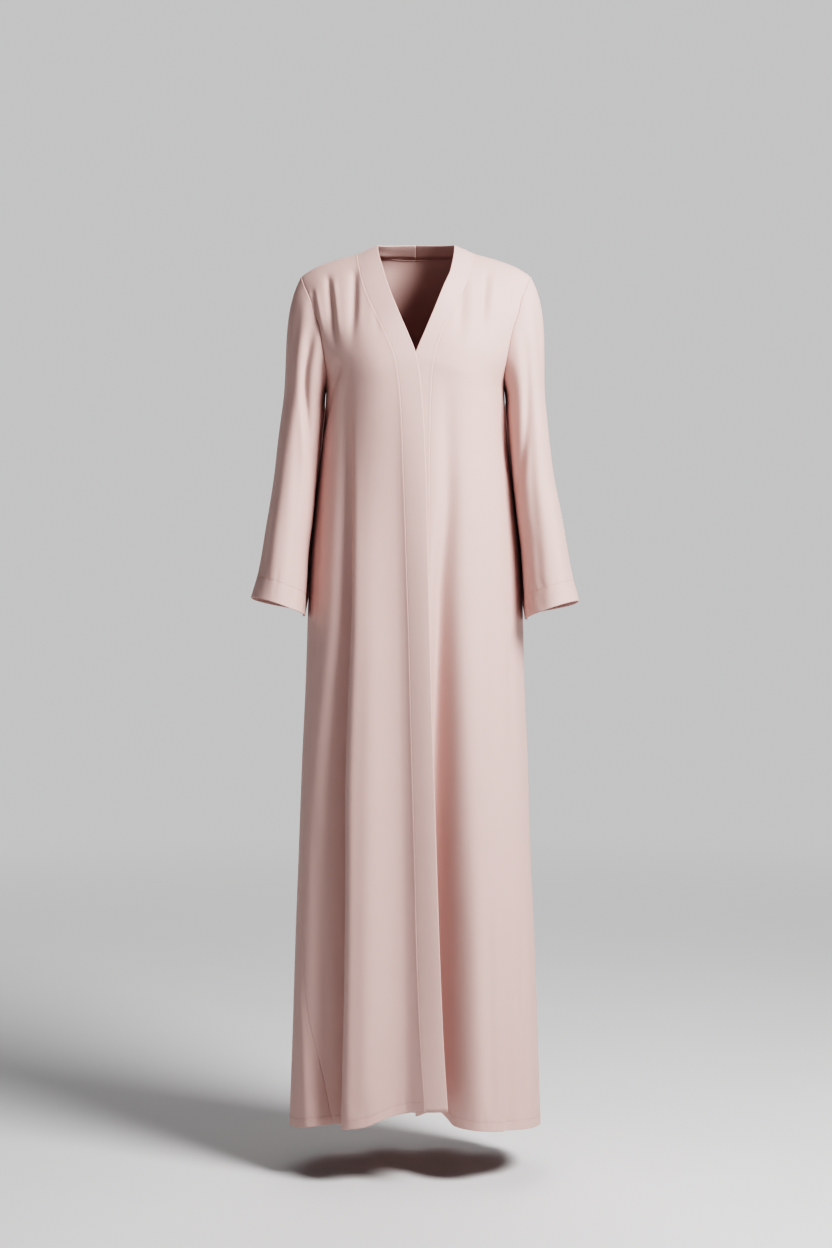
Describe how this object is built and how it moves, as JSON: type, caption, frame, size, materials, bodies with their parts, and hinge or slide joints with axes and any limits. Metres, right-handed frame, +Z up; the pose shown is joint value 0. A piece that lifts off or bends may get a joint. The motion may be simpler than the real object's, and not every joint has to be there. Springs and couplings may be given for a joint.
{
  "type": "abaya cloak",
  "caption": "Floor-length open-front cloak with long set-in sleeves, a narrow front band that runs round the neck, and a soft overlap down the front.",
  "frame": {"origin": "the point between the shoulders, at the height where the cloak rests on the wearer's shoulders", "axes": "+Z up from hem to neck, the front faces -Y, and the wearer's left is +X"},
  "size_m": [0.5386, 0.342, 1.4761],
  "materials": {
    "panel_crepe": "matt crepe with a fine pebbled weave, dusty blush pink",
    "band_crepe": "the same crepe, doubled and pressed",
    "thread": "matched sewing thread"
  },
  "bodies": {
    "root": {"front_right": "panel_crepe", "front_left": "panel_crepe", "back": "panel_crepe", "band_right": "band_crepe", "band_left": "band_crepe", "sleeve_right": "panel_crepe", "sleeve_left": "panel_crepe"}
  },
  "joints": []
}
